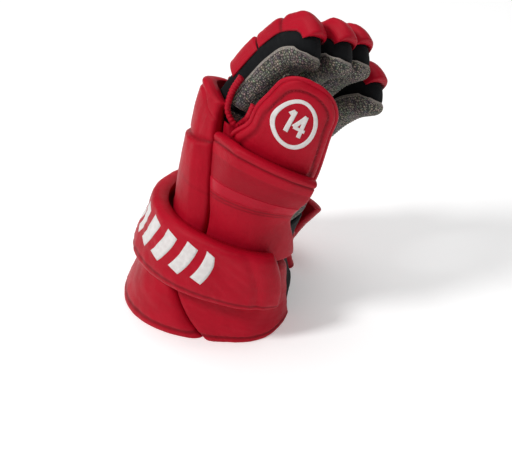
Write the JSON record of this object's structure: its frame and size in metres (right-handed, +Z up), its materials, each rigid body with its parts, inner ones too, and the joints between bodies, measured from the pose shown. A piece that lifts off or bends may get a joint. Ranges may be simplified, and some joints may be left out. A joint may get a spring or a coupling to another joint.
{
  "type": "ice hockey glove",
  "caption": "Padded ice hockey glove for the left hand, standing on its cuff: flared cuff with a roll, blocks on the back, thumb pad and curled fingers.",
  "frame": {"origin": "on the ground, below the middle of the bounding box", "axes": "+Z up from the rim of the cuff to the fingers, +X towards the palm side, -Y towards the thumb"},
  "size_m": [0.2442, 0.1932, 0.312],
  "materials": {
    "red nylon": "woven nylon with a slight sheen",
    "black gusset fabric": "matt stretch fabric",
    "palm leather": "matt, pebbled",
    "lining knit": "matt knit"
  },
  "bodies": {
    "root": {"lining": "lining knit", "thumb_sleeve": "black gusset fabric", "gauntlet_back": "red nylon", "gauntlet_thumb": "red nylon", "gauntlet_little": "red nylon", "cuff_palm": "black gusset fabric", "cuff_roll": "red nylon", "backhand_thumb": "red nylon", "backhand_centre": "red nylon", "backhand_little": "red nylon", "palm": "palm leather", "thumb_pad": "red nylon", "thumb_palm": "palm leather", "wrist_pad": "red nylon", "index_sleeve": "black gusset fabric", "index_base_pad": "red nylon", "index_tip_pad": "red nylon", "index_strip": "palm leather", "middle_sleeve": "black gusset fabric", "middle_base_pad": "red nylon", "middle_tip_pad": "red nylon", "middle_strip": "palm leather", "ring_sleeve": "black gusset fabric", "ring_base_pad": "red nylon", "ring_tip_pad": "red nylon", "ring_strip": "palm leather", "little_sleeve": "black gusset fabric", "little_base_pad": "red nylon", "little_tip_pad": "red nylon", "little_strip": "palm leather", "thumb_binding": "red nylon"}
  },
  "joints": []
}
